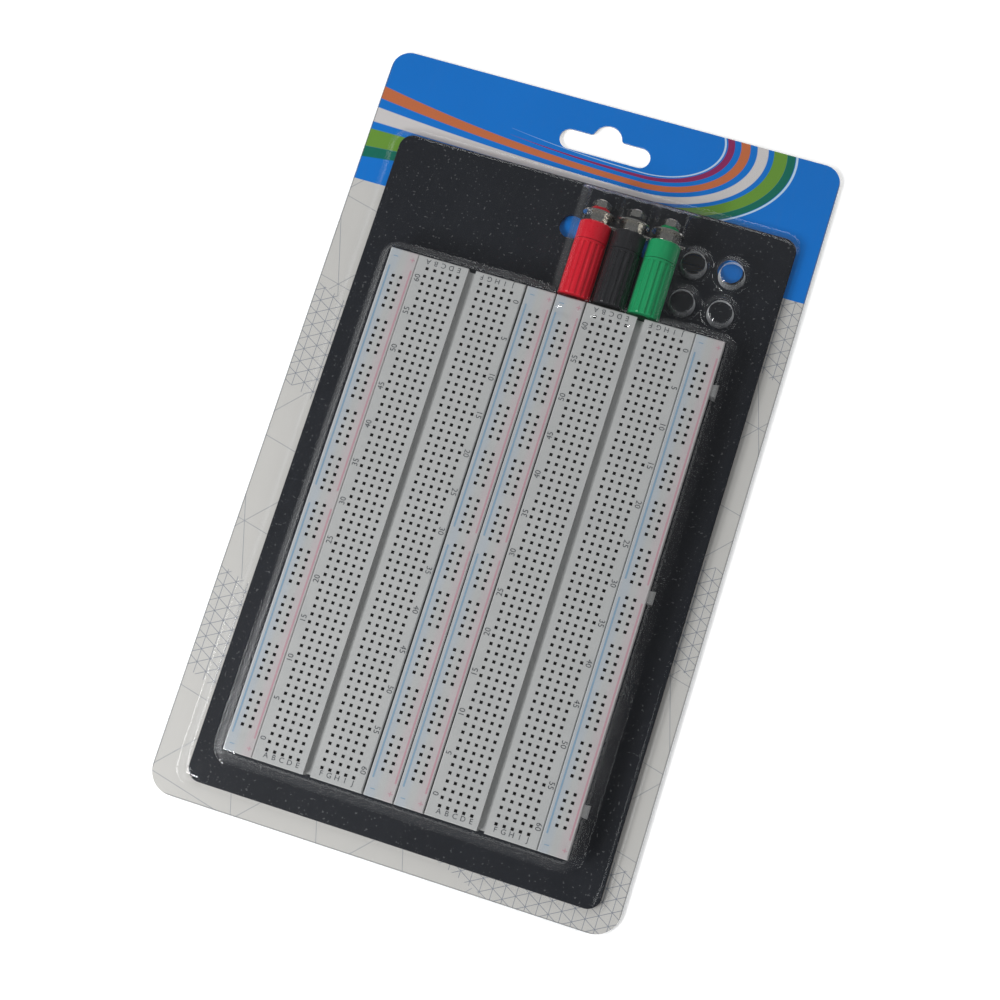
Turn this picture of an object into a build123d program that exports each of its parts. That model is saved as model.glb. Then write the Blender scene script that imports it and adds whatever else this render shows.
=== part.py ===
from build123d import *

import math
import os

# Solderless breadboard kit: six socket strips taped to a black metal plate, with three loose
# binding posts and four clear bumper feet, held on a hanging card by a clear formed blister whose
# side and bottom edges are folded round the card.
#
# Frame: origin at the centre of the pack's underside, X across the pack, Y towards the hanging
# slot, Z up from the surface that the pack lies on. Millimetres.

# ------------------------------------------------------------------ driving dimensions
# Sockets: the standard tenth-of-an-inch grid
pitch = 2.54
socket_rows = 63
sockets_per_row = 5
centre_span = 3 * pitch       # from column E to column F, across the centre channel
socket_size = 1.0
bus_group_rows = 6            # rows from one group of five to the next, down each bus line
bus_groups = 2 * (socket_rows // (2 * bus_group_rows))
bus_first_row = (socket_rows + 1 - bus_groups * bus_group_rows) // 2

# Socket strips
terminal_side_room = 3.68     # from the outer sockets' centres to the strip's sides
bus_side_room = 3.38
strip_end_room = 3.81         # from the last row's centre to the strip's end
terminal_width = centre_span + 2 * ((sockets_per_row - 1) * pitch + terminal_side_room)
bus_width = pitch + 2 * bus_side_room
strip_length = (socket_rows - 1) * pitch + 2 * strip_end_room
strip_height = 8.5
strip_edge_chamfer = 0.3
strip_top_wall = 1.6          # plastic between the top face and the clip cells
cell_end_room = 1.12          # from the last socket's centre to the cell's end
cell_wall = 0.44              # plastic between neighbouring cells
cell_width = pitch - cell_wall
socket_overlap = 0.6          # each socket opens this far below its cell's roof
channel_width = 2.4
channel_depth = 2.0
channel_end_notch = 0.6
seam_gaps = (0.05, 0.55, 0.35, 0.40, 0.15)   # left between the strips when they were taped down

# Dovetail tabs along each strip's right side, and the slots that take them
tab_reach = 1.9
tab_root_width = 3.6
tab_flare = 0.6               # the tip is this much wider than the root
tab_height = 5.5
tab_from_end = 15.25          # from the strip's end to the outer tabs' centres
slot_clearance = 0.2
slot_roof_gap = 0.3

# Spring clips
clip_thickness = 0.25
clip_side_clearance = 0.2
clip_width = cell_width - 2 * clip_side_clearance
clip_tip_width = 0.9
clip_head_room = 0.7          # from the leaves' tips to the cell's roof
clip_height = strip_height - strip_top_wall - clip_head_room
clip_end_clearance = 0.15

# Foam tape and plate
tape_thickness = 0.8
tape_inset = 0.6
plate_thickness = 1.5
plate_corner = 4.5
plate_edge_chamfer = 0.2
plate_left_room = 10.55       # bare plate beside, below and above the strips
plate_right_room = 12.95
plate_bottom_room = 12.2
plate_top_room = 40.4
post_hole_diameter = 8.0
post_hole_pitch = 26.25
post_hole_from_top = 15.3
post_hole_right_of_centre = 21.9

# Hanging card and clear blister
pack_left_margin = 8.1        # flat flange round the plate's pocket
pack_right_margin = 5.9
pack_bottom_margin = 5.3
pack_top_margin = 25.4
pack_top_corner = 6.0
pack_bottom_corner = 8.0
sheet = 0.4                   # blister sheet thickness
card_thickness = 0.6
card_side_clearance = 0.3
card_play = 0.15              # under the flange, so that the card slides
fold_width = 6.0              # how far the folded edges reach under the card
fold_end = 9.0                # the folds stop this far short of the corners
hang_slot_width = 30.3
hang_slot_height = 6.7
hang_slot_bump = 9.5
hang_slot_rise = 11.0         # from the slot's lower edge to the top of its bump
hang_slot_from_top = 17.5
hang_slot_neck_fillet = 1.2
plate_side_room = 2.8         # the plate is loose in its pocket
plate_end_room = 2.0
plate_right_of_pocket = 1.0
plate_head_room = 1.5
plate_pocket_run = 3.0        # how far each wall leans out from top to foot
plate_pocket_corner = 3.5
strip_side_room = 0.8
strip_head_room = 0.4
strip_pocket_run = 4.5
strip_pocket_corner = 2.5
post_side_room = 0.8
post_end_room = 1.5
post_head_room = 0.6
post_pocket_run = 3.4
post_pocket_corner = 3.0
foot_side_room = 0.7
foot_head_room = 0.5
foot_pocket_run = 2.5
foot_pocket_corner = 4.5

# Binding posts, lying on the plate above the strips
post_side_gap = 0.95          # between neighbouring caps
posts_right_of_centre = 14.95 # the middle post lies this far right of the plate's middle
post_front_gap = 1.1          # from the strips' ends to the caps
post_lift = 0.3               # the caps clear the plate by this much
cap_diameter = 10.4
cap_length = 18.5
cap_flutes = 16
cap_flute_diameter = 1.7
cap_flute_depth = 0.35
cap_flute_stop = 0.8          # the flutes end this far short of the cap's back
cap_front_fillet = 0.6
cap_bush_gap = 0.2
barrel_bore = 4.1             # takes a 4 mm plug
barrel_wall = 0.95
barrel_diameter = barrel_bore + 2 * barrel_wall
barrel_length = 8.7
cap_mouth_room = 0.5          # the cap's opening is this much wider than the plug bore
cap_socket_diameter = barrel_bore + cap_mouth_room
sleeve_wall = 1.0
sleeve_diameter = barrel_diameter + 2 * sleeve_wall
sleeve_length = 9.0
sleeve_seat_gap = 0.1
wire_hole_diameter = 1.8
wire_hole_from_bush = 2.2
shank_step = 0.4              # the shank's radius is this much less than the barrel's
shank_diameter = barrel_diameter - 2 * shank_step
bore_end_wall = 1.0           # solid metal behind the plug bore
thread_diameter = 3.5
stud_end_chamfer = 0.3
running_clearance = 0.05      # radial, between each thread and what screws on it
bush_length = 6.2
bush_back_fillet = 0.5
lug_ring_diameter = 7.2
lug_thickness = 0.5
lug_reach = 6.6
lug_tail_width = 2.4
lug_hole_diameter = 1.2
panel_nut_flats = 7.0
panel_nut_height = 2.7
washer_proud = 0.1            # the washer's radius is this much more than the cap's
washer_diameter = cap_diameter + 2 * washer_proud
washer_thickness = 0.5
rear_bush_diameter = 6.5
rear_bush_length = 1.6
rear_bush_step = 0.5
end_nut_flats = 5.5
end_nut_height = 2.2
stud_end = 0.7
nut_corner_chamfer = 0.35

# Clear bumper feet, loose beside the posts
foot_base_diameter = 8.6
foot_top_diameter = 7.4
foot_height = 4.6
foot_top_fillet = 0.9
foot_gap_x = 4.0              # between neighbouring feet
foot_gap_y = 4.35
foot_pitch_x = foot_base_diameter + foot_gap_x
foot_pitch_y = foot_base_diameter + foot_gap_y
feet_side_gap = 0.7           # from the last cap to the nearest feet
feet_front_gap = 6.025        # from the strips' ends to the nearest feet

# Cutting tools reach past the faces that they open by this much
overrun = 1.0

# ------------------------------------------------------------------ levels, from the bottom up
card_z = sheet
card_top_z = card_z + card_thickness
flange_z = card_top_z + card_play
plate_top_z = card_top_z + plate_thickness
strip_z = plate_top_z + tape_thickness
strip_top_z = strip_z + strip_height
post_axis_z = plate_top_z + post_lift + cap_diameter / 2

# ------------------------------------------------------------------ places, from the pack inwards
strip_kinds = ("bus", "terminal", "bus", "bus", "terminal", "bus")
strip_widths = [terminal_width if kind == "terminal" else bus_width for kind in strip_kinds]
strips_width = sum(strip_widths) + sum(seam_gaps)
plate_width = plate_left_room + strips_width + plate_right_room
plate_length = plate_bottom_room + strip_length + plate_top_room
pocket_width = plate_width + 2 * plate_side_room
pocket_length = plate_length + 2 * plate_end_room
pack_width = pack_left_margin + pocket_width + pack_right_margin
pack_length = pack_bottom_margin + pocket_length + pack_top_margin

pocket_x = (pack_left_margin - pack_right_margin) / 2
plate_x = pocket_x + plate_right_of_pocket
plate_y = (pack_bottom_margin - pack_top_margin) / 2
plate_top_y = plate_y + plate_length / 2
strip_y = plate_y - plate_length / 2 + plate_bottom_room + strip_length / 2
strip_end_y = strip_y + strip_length / 2
strips_left_x = plate_x - plate_width / 2 + plate_left_room
strips_right_x = strips_left_x + strips_width
post_pitch = cap_diameter + post_side_gap
middle_post_x = plate_x + posts_right_of_centre
last_cap_x = middle_post_x + post_pitch + cap_diameter / 2
feet_x = last_cap_x + feet_side_gap + (foot_pitch_x + foot_base_diameter) / 2
feet_y = strip_end_y + feet_front_gap + (foot_pitch_y + foot_base_diameter) / 2


def strip_centres():
    """Return (kind, width, centre x, gap on the left) of each strip, left to right."""
    places = []
    left = strips_left_x
    for kind, width, gap in zip(strip_kinds, strip_widths, (0.0,) + seam_gaps):
        left += gap
        places.append((kind, width, left + width / 2, gap))
        left += width
    return places


# ------------------------------------------------------------------ helpers
def block(x0, x1, y0, y1, z0, z1):
    """A box from its lowest to its highest corner."""
    place = Pos((x0 + x1) / 2, (y0 + y1) / 2, (z0 + z1) / 2)
    return place * Box(x1 - x0, y1 - y0, z1 - z0)


def rod(radius, y0, y1, x=0.0, z=0.0):
    """A round bar along Y."""
    place = Pos(x, (y0 + y1) / 2, z) * Rot(90, 0, 0)
    return place * Cylinder(radius, y1 - y0)


def write(node, shape):
    """Write one node's STEP file."""
    export_step(shape, f"parts/{node}.step")


# ------------------------------------------------------------------ socket strips
def tab_outline(reach, root, y):
    """One dovetail, wider at its tip, as a face that starts on the Y axis and points along +X."""
    tip = root + tab_flare
    corners = [(0, y - root / 2), (reach, y - tip / 2), (reach, y + tip / 2), (0, y + root / 2)]
    return make_face(Polyline(*corners, close=True))


def strip_body(width, left_gap):
    """A strip's outer form on its own origin: tabs on the right, slots on the left."""
    body = Pos(0, 0, strip_height / 2) * Box(width, strip_length, strip_height)
    top_edges = body.edges().group_by(Axis.Z)[-1]
    body = chamfer(top_edges, strip_edge_chamfer)
    slot_reach = tab_reach - left_gap + slot_clearance
    for row in (-1, 0, 1):
        y = row * (strip_length / 2 - tab_from_end)
        tab = extrude(tab_outline(tab_reach, tab_root_width, y), tab_height)
        body += Pos(width / 2, 0, 0) * tab
        slot_face = tab_outline(slot_reach, tab_root_width + 2 * slot_clearance, y)
        slot = extrude(slot_face, tab_height + slot_roof_gap)
        body -= Pos(-width / 2, 0, 0) * slot
    return body


def socket_tool(x, y):
    """The square hole of one socket, through the top wall."""
    return Pos(x, y, strip_height) * Box(socket_size, socket_size, 2 * (strip_top_wall + socket_overlap))


def row_centre(side):
    """X of the middle socket of a row: side -1 is columns A to E, side 1 is F to J."""
    return side * (centre_span / 2 + (sockets_per_row - 1) / 2 * pitch)


def row_y(row):
    """Y of a socket row, counted from 0 at the lower end."""
    return (row - (socket_rows - 1) / 2) * pitch


def bus_line_rows(half):
    """Socket rows on the lower (0) or upper (1) half of a bus line."""
    groups = range(half * bus_groups // 2, (half + 1) * bus_groups // 2)
    per_group = range(sockets_per_row)
    return [bus_first_row + group * bus_group_rows + step for group in groups for step in per_group]


def terminal_strip(left_gap):
    """Housing with two blocks of five-socket rows, one each side of the centre channel."""
    body = strip_body(terminal_width, left_gap)
    cell_length = (sockets_per_row - 1) * pitch + 2 * cell_end_room
    cell_height = strip_height - strip_top_wall
    tools = []
    for side in (-1, 1):
        for row in range(socket_rows):
            place = Pos(row_centre(side), row_y(row), cell_height / 2)
            tools.append(place * Box(cell_length, cell_width, cell_height))
            for step in range(sockets_per_row):
                x = row_centre(side) + (step - (sockets_per_row - 1) / 2) * pitch
                tools.append(socket_tool(x, row_y(row)))
        end_y = side * strip_length / 2
        notch = Box(channel_width, 2 * channel_end_notch, 3 * strip_height)
        tools.append(Pos(0, end_y, 0) * notch)
    channel_z = strip_height - channel_depth / 2
    tools.append(Pos(0, 0, channel_z) * Box(channel_width, 2 * strip_length, channel_depth))
    return body.cut(*tools)


def bus_strip(left_gap):
    """Housing with two socket lines, each broken at mid-length into two separate halves."""
    body = strip_body(bus_width, left_gap)
    cell_height = strip_height - strip_top_wall
    tools = []
    for side in (-1, 1):
        x = side * pitch / 2
        for half in (0, 1):
            rows = bus_line_rows(half)
            first, last = row_y(rows[0]), row_y(rows[-1])
            cell = block(x - cell_width / 2, x + cell_width / 2,
                         first - cell_end_room, last + cell_end_room, 0, cell_height)
            tools.append(cell)
            tools.extend(socket_tool(x, row_y(row)) for row in rows)
    return body.cut(*tools)


def clip_profile():
    """Section of a spring clip: a flat base and two leaves that close towards the top."""
    half, tip, wall = clip_width / 2, clip_tip_width / 2, clip_thickness
    corners = [(-half, 0), (half, 0), (tip, clip_height), (tip - wall, clip_height),
               (half - wall, wall), (wall - half, wall), (wall - tip, clip_height),
               (-tip, clip_height)]
    return corners


def clip_along_x(length):
    """A clip that joins the sockets of one row."""
    face = make_face(Plane.YZ * Polyline(*clip_profile(), close=True))
    return extrude(face, length / 2, both=True)


def clip_along_y(length):
    """A clip that joins the sockets of one half of a bus line."""
    face = make_face(Plane.XZ * Polyline(*clip_profile(), close=True))
    return extrude(face, length / 2, both=True)


def terminal_clips():
    """All row clips of one terminal strip, as separate solids."""
    length = (sockets_per_row - 1) * pitch + 2 * (cell_end_room - clip_end_clearance)
    clip = clip_along_x(length)
    places = [(row_centre(side), row_y(row)) for side in (-1, 1) for row in range(socket_rows)]
    return [Pos(x, y, 0) * clip for x, y in places]


def bus_clips():
    """The four long clips of one bus strip, as separate solids."""
    clips = []
    for side in (-1, 1):
        for half in (0, 1):
            rows = bus_line_rows(half)
            first, last = row_y(rows[0]), row_y(rows[-1])
            clip = clip_along_y(last - first + 2 * (cell_end_room - clip_end_clearance))
            clips.append(Pos(side * pitch / 2, (first + last) / 2, 0) * clip)
    return clips


def make_strips():
    """Housings, clips and tapes of all six strips."""
    names = ("bus_strip_1", "terminal_strip_1", "bus_strip_2",
             "bus_strip_3", "terminal_strip_2", "bus_strip_4")
    row_clips = terminal_clips()
    line_clips = bus_clips()
    for name, (kind, width, x, gap) in zip(names, strip_centres()):
        place = Pos(x, strip_y, strip_z)
        housing = terminal_strip(gap) if kind == "terminal" else bus_strip(gap)
        clips = row_clips if kind == "terminal" else line_clips
        write(name, place * housing)
        clip_node = name.replace("strip", "clips")
        write(clip_node, Compound(children=[place * clip for clip in clips]))
        tape = Box(width - 2 * tape_inset, strip_length - 2 * tape_inset, tape_thickness)
        tape_node = name.replace("strip", "tape")
        write(tape_node, Pos(x, strip_y, strip_z - tape_thickness / 2) * tape)


# ------------------------------------------------------------------ base plate
def base_plate():
    """Black metal plate with three holes for the binding posts."""
    outline = RectangleRounded(plate_width, plate_length, plate_corner)
    plate = extrude(Pos(plate_x, plate_y, card_top_z) * outline, plate_thickness)
    ends = plate.edges().group_by(Axis.Z)
    plate = chamfer(ends[0] + ends[-1], plate_edge_chamfer)
    hole_y = plate_top_y - post_hole_from_top
    for step in (-1, 0, 1):
        hole_x = plate_x + post_hole_right_of_centre + step * post_hole_pitch
        hole = Cylinder(post_hole_diameter / 2, 4 * plate_thickness)
        plate -= Pos(hole_x, hole_y, card_top_z) * hole
    return plate


# ------------------------------------------------------------------ binding posts
cap_front_y = strip_end_y + post_front_gap
bush_front_y = cap_front_y + cap_length + cap_bush_gap
lug_y = bush_front_y + bush_length
panel_nut_y = lug_y + lug_thickness
washer_y = panel_nut_y + panel_nut_height
rear_bush_y = washer_y + washer_thickness
end_nut_y = rear_bush_y + rear_bush_length
stud_end_y = end_nut_y + end_nut_height + stud_end


def hex_nut(flats, y0, height):
    """A nut with its axis along Y and its corners chamfered."""
    corner_radius = flats / math.sqrt(3)
    face = Plane.XZ * RegularPolygon(corner_radius, 6)
    nut = Pos(0, y0 + height, 0) * extrude(face, height)
    cone_radius = corner_radius - nut_corner_chamfer
    slope = nut_corner_chamfer * math.tan(math.radians(30))
    middle = rod(corner_radius + overrun, y0 + slope, y0 + height - slope)
    rim = Pos(0, y0 + height / 2, 0) * Rot(90, 0, 0)
    low = rim * Pos(0, 0, height / 2 - slope / 2) * Cone(corner_radius, cone_radius, slope)
    high = rim * Pos(0, 0, slope / 2 - height / 2) * Cone(cone_radius, corner_radius, slope)
    nut = nut & (middle + low + high)
    bore = thread_diameter / 2 + running_clearance
    return nut - rod(bore, y0 - overrun, y0 + height + overrun)


def cap():
    """Fluted moulded cap: a wide bore round the sleeve, and a plug opening at its front."""
    radius = cap_diameter / 2
    back_y = cap_front_y + cap_length
    body = rod(radius, cap_front_y, back_y)
    body = fillet(body.edges().group_by(Axis.Y)[0], cap_front_fillet)
    flute_centre = radius + cap_flute_diameter / 2 - cap_flute_depth
    flutes = []
    for step in range(cap_flutes):
        angle = 2 * math.pi * (step + 0.5) / cap_flutes
        x, z = flute_centre * math.cos(angle), flute_centre * math.sin(angle)
        flutes.append(rod(cap_flute_diameter / 2, cap_front_y - overrun, back_y - cap_flute_stop,
                          x, z))
    body = body - flutes
    seat_y = back_y - sleeve_length - sleeve_seat_gap
    body -= rod(sleeve_diameter / 2 + running_clearance, seat_y, back_y + overrun)
    return body - rod(cap_socket_diameter / 2, cap_front_y - overrun, back_y)


def cap_sleeve():
    """Threaded brass sleeve inside the cap."""
    back_y = cap_front_y + cap_length
    sleeve = rod(sleeve_diameter / 2, back_y - sleeve_length, back_y)
    return sleeve - rod(barrel_diameter / 2 + running_clearance, cap_front_y, back_y + overrun)


def stud():
    """Turned brass body: plug barrel, shank through the bush, and rear thread."""
    front_y = bush_front_y - barrel_length
    body = rod(barrel_diameter / 2, front_y, bush_front_y)
    body += rod(shank_diameter / 2, bush_front_y, lug_y)
    body += rod(thread_diameter / 2, lug_y, stud_end_y)
    body -= rod(barrel_bore / 2, front_y - overrun, lug_y - bore_end_wall)
    wire_hole = Cylinder(wire_hole_diameter / 2, 2 * barrel_diameter)
    body -= Pos(0, bush_front_y - wire_hole_from_bush, 0) * wire_hole
    end_edges = body.edges().filter_by(GeomType.CIRCLE).group_by(Axis.Y)[-1]
    return chamfer(end_edges, stud_end_chamfer)


def front_bush():
    """Smooth moulded bush that seats on the panel's front."""
    body = rod(cap_diameter / 2, bush_front_y, lug_y)
    body = fillet(body.edges().group_by(Axis.Y)[-1], bush_back_fillet)
    bore = shank_diameter / 2 + running_clearance
    return body - rod(bore, bush_front_y - overrun, lug_y + overrun)


def solder_lug():
    """Flat ring with a tail that has a hole for the wire."""
    bore = thread_diameter / 2 + running_clearance
    ring = Circle(lug_ring_diameter / 2)
    tail = Pos(lug_reach / 2, 0) * SlotOverall(lug_reach, lug_tail_width)
    outline = ring + tail - Circle(bore)
    outline -= Pos(lug_reach - lug_tail_width / 2, 0) * Circle(lug_hole_diameter / 2)
    return Pos(0, lug_y + lug_thickness, 0) * extrude(Plane.XZ * outline, lug_thickness)


def flat_washer():
    """Thin plain washer."""
    washer = rod(washer_diameter / 2, washer_y, washer_y + washer_thickness)
    bore = thread_diameter / 2 + running_clearance
    return washer - rod(bore, washer_y - overrun, rear_bush_y + overrun)


def rear_bush():
    """Small stepped insulating bush in the cap's colour."""
    step_y = end_nut_y - rear_bush_step
    body = rod(rear_bush_diameter / 2, rear_bush_y, step_y)
    body += rod(rear_bush_diameter / 2 - rear_bush_step, step_y, end_nut_y)
    bore = thread_diameter / 2 + running_clearance
    return body - rod(bore, rear_bush_y - overrun, end_nut_y + overrun)


def make_posts():
    """Three complete binding posts, side by side."""
    pieces = {
        "cap": cap(),
        "cap_sleeve": cap_sleeve(),
        "stud": stud(),
        "front_bush": front_bush(),
        "solder_lug": solder_lug(),
        "panel_nut": hex_nut(panel_nut_flats, panel_nut_y, panel_nut_height),
        "flat_washer": flat_washer(),
        "rear_bush": rear_bush(),
        "end_nut": hex_nut(end_nut_flats, end_nut_y, end_nut_height),
    }
    for step, colour in zip((-1, 0, 1), ("red", "black", "green")):
        place = Pos(middle_post_x + step * post_pitch, 0, post_axis_z)
        for piece, shape in pieces.items():
            write(f"{colour}_{piece}", place * shape)


# ------------------------------------------------------------------ bumper feet
def bumper_foot():
    """Soft clear foot: a low cone with a rounded top."""
    base, top = foot_base_diameter / 2, foot_top_diameter / 2
    foot = Pos(0, 0, foot_height / 2) * Cone(base, top, foot_height)
    return fillet(foot.edges().group_by(Axis.Z)[-1], foot_top_fillet)


def make_feet():
    """Four feet in a square beside the posts."""
    foot = bumper_foot()
    corners = [(-1, 1), (1, 1), (-1, -1), (1, -1)]
    for number, (side_x, side_y) in enumerate(corners, start=1):
        x = feet_x + side_x * foot_pitch_x / 2
        y = feet_y + side_y * foot_pitch_y / 2
        write(f"foot_{number}", Pos(x, y, plate_top_z) * foot)


# ------------------------------------------------------------------ hanging card
def pack_outline(width, bottom_y, top_y):
    """Card or flange outline: the lower corners are rounder than the upper ones."""
    half = width / 2
    top, bottom = pack_top_corner, pack_bottom_corner
    corners = [(-half, top_y), (half, top_y), (half, bottom_y), (-half, bottom_y)]
    radii = [top, top, bottom, bottom]
    path = FilletPolyline(*corners, radius=radii, close=True)
    return make_face(path)


def hang_slot():
    """Euro hanging slot: a long rounded slot with a round bump for a single peg."""
    low_y = pack_length / 2 - hang_slot_from_top
    slot = Pos(0, low_y + hang_slot_height / 2) * SlotOverall(hang_slot_width, hang_slot_height)
    bump_y = low_y + hang_slot_rise - hang_slot_bump / 2
    outline = slot + Pos(0, bump_y) * Circle(hang_slot_bump / 2)
    neck = [point for point in outline.vertices() if abs(point.X) < hang_slot_bump / 2]
    outline = fillet(neck, hang_slot_neck_fillet)
    return extrude(outline, flange_z + sheet + overrun, both=True)


def hang_card():
    """Printed card that slides in the blister's folded edges."""
    side = sheet + card_side_clearance
    outline = pack_outline(pack_width - 2 * side, side - pack_length / 2, pack_length / 2)
    return extrude(Pos(0, 0, card_z) * outline, card_thickness) - hang_slot()


# ------------------------------------------------------------------ clear blister
def pocket(x0, x1, y0, y1, foot_z, top_z, run, corner, grow):
    """A pocket whose flat top is x0..x1 by y0..y1 and whose walls lean out by run to its foot.

    grow makes it larger all round, and higher, by the sheet's thickness.
    """
    place = Pos((x0 + x1) / 2, (y0 + y1) / 2)
    width, length = x1 - x0 + 2 * grow, y1 - y0 + 2 * grow
    top = RectangleRounded(width, length, corner + grow)
    foot = RectangleRounded(width + 2 * run, length + 2 * run, corner + run + grow)
    return place * loft([Pos(0, 0, foot_z + grow) * foot, Pos(0, 0, top_z + grow) * top])


def pockets(grow):
    """All pockets joined: plate, strips, posts and feet."""
    half_width = pocket_width / 2 - plate_pocket_run
    half_length = pocket_length / 2 - plate_pocket_run
    plateau_z = plate_top_z + plate_head_room
    whole = pocket(pocket_x - half_width, pocket_x + half_width,
                   plate_y - half_length, plate_y + half_length,
                   flange_z, plateau_z, plate_pocket_run, plate_pocket_corner, grow)
    whole += pocket(strips_left_x - strip_side_room, strips_right_x + strip_side_room,
                    strip_y - strip_length / 2 - strip_side_room, strip_end_y + strip_side_room,
                    plateau_z, strip_top_z + strip_head_room,
                    strip_pocket_run, strip_pocket_corner, grow)
    post_half = post_pitch + cap_diameter / 2 + post_side_room
    post_top_z = post_axis_z + cap_diameter / 2 + post_head_room
    whole += pocket(middle_post_x - post_half, middle_post_x + post_half,
                    strip_end_y - post_pocket_run, stud_end_y + post_end_room,
                    plateau_z, post_top_z, post_pocket_run, post_pocket_corner, grow)
    foot_half_x = (foot_pitch_x + foot_base_diameter) / 2 + foot_side_room
    foot_half_y = (foot_pitch_y + foot_base_diameter) / 2 + foot_side_room
    whole += pocket(feet_x - foot_half_x, feet_x + foot_half_x,
                    feet_y - foot_half_y, feet_y + foot_half_y,
                    plateau_z, plate_top_z + foot_height + foot_head_room,
                    foot_pocket_run, foot_pocket_corner, grow)
    return whole


def blister_shell():
    """Clear formed sheet: flange, pockets, and edges folded round the card's sides and foot."""
    half, low_y, high_y = pack_width / 2, -pack_length / 2, pack_length / 2
    flange_top = flange_z + sheet
    rim = extrude(pack_outline(pack_width, low_y, high_y), flange_top)
    past_y = high_y + overrun
    channel = block(sheet - half, half - sheet, low_y + sheet, past_y, sheet, flange_z)
    window = block(fold_width - half, half - fold_width, low_y + fold_width, past_y,
                   -overrun, flange_z)
    rim = rim - channel - window
    for side in (-1, 1):
        inner, outer = sorted((side * (half - fold_end), side * (half + overrun)))
        rim -= block(inner, outer, low_y - overrun, low_y + fold_end, -overrun, flange_z)
        rim -= block(inner, outer, high_y - fold_end, past_y, -overrun, flange_z)
    return rim + pockets(sheet) - pockets(0) - hang_slot()


os.makedirs("parts", exist_ok=True)
write("hang_card", hang_card())
write("blister_shell", blister_shell())
write("base_plate", base_plate())
make_strips()
make_posts()
make_feet()
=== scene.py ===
# %% [markdown]
# # A solderless breadboard in its hanging pack
#
# The real object is a kit: six grey socket strips on a black metal plate, three loose binding
# posts and four clear feet, all held against a printed card by a clear formed sheet. The exact
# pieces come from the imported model, which stays where it is. This lesson adds what a drawing
# office leaves out: finishes, printed marks, and the soft rounded form of the clear sheet.

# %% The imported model
import math

import bmesh
import bpy
import numpy as np
from mathutils import Matrix, Quaternion, Vector
from mathutils.geometry import delaunay_2d_cdt


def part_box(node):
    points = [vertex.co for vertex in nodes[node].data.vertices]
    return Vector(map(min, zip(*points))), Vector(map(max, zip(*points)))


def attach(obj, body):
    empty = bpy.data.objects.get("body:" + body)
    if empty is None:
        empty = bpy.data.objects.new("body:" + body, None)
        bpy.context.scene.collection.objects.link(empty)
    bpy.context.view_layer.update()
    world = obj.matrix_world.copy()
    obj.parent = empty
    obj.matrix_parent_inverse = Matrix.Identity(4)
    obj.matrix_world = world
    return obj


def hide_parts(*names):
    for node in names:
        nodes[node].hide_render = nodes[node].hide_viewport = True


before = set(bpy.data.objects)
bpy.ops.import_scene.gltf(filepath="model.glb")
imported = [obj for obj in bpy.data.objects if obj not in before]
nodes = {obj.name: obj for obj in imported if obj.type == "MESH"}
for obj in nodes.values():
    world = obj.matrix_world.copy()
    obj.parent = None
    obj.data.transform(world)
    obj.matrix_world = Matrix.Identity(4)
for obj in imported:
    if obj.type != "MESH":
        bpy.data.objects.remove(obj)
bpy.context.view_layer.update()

MM = 0.001

# %% [markdown]
# ## Measures
#
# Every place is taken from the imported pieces' own boxes, so a mark or a pocket moves with the
# piece that it belongs to. Working in millimetres keeps the numbers readable; they are turned
# into metres only where a mesh is made.

# %% Boxes in millimetres
def box_mm(node):
    """A node's lowest and highest corners, in millimetres."""
    low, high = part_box(node)
    return low / MM, high / MM


card_low, card_high = box_mm("hang_card")
pack_low, pack_high = box_mm("blister_shell")
plate_low, plate_high = box_mm("base_plate")
first_low, first_high = box_mm("bus_strip_1")
last_high = box_mm("bus_strip_4")[1]
STRIP_TOP = first_high.z
TAB_REACH = 1.9
strips_left = first_low.x
strips_right = last_high.x - TAB_REACH
strips_bottom, strips_top = first_low.y, first_high.y
print("strips:", round(strips_right - strips_left, 2), "by", round(strips_top - strips_bottom, 2))

# %% [markdown]
# ## Camera
#
# The pack is seen from nearly overhead with a fairly long lens, and turned in the view so that
# its top edge falls away to the right. An eye point, an aim point and a roll about the line of
# sight say that more plainly than three angles would.

# %% The camera
EYE = Vector((69.9, -89.4, 555.9)) * MM
AIM = Vector((2.3, -7.5, 0.0)) * MM
ROLL = math.radians(-22.27)
SENSOR = 36.0
LENS = 64.95

camera_data = bpy.data.cameras.new("camera")
camera_data.sensor_width = SENSOR
camera_data.lens = LENS
camera_data.clip_start = 0.01
camera = bpy.data.objects.new("camera", camera_data)
bpy.context.scene.collection.objects.link(camera)
camera.location = EYE
camera.rotation_mode = "QUATERNION"
line_of_sight = (AIM - EYE).to_track_quat("-Z", "Y")
camera.rotation_quaternion = line_of_sight @ Quaternion((0, 0, 1), ROLL)
bpy.context.scene.camera = camera
print("distance to aim:", round((AIM - EYE).length, 3), "m")

# %% [markdown]
# ## Floor and light
#
# The floor is one big pale square. It sits a hair below zero, where the pack's underside lies,
# so that the two never flicker.

# %% Floor
def new_object(name, mesh):
    """Link a mesh into the scene as an object."""
    made = bpy.data.objects.new(name, mesh)
    bpy.context.scene.collection.objects.link(made)
    return made


FLOOR_HALF = 3.0
FLOOR_DROP = 0.0002
floor_mesh = bpy.data.meshes.new("floor")
corners = [(x * FLOOR_HALF, y * FLOOR_HALF, -FLOOR_DROP) for x, y in
           ((-1, -1), (1, -1), (1, 1), (-1, 1))]
floor_mesh.from_pydata(corners, [], [(0, 1, 2, 3)])
floor = new_object("floor", floor_mesh)

# %% [markdown]
# Clear sheet shows itself only by what it reflects, so the light matters as much as the
# material. A broad soft box high on the left lights everything evenly, two more behind and on
# the right soften the shadows, and a small strong one low in front draws the bright glints in
# the corners. A pale sky does the rest; a sky alone would leave the sheet invisible.

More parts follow.
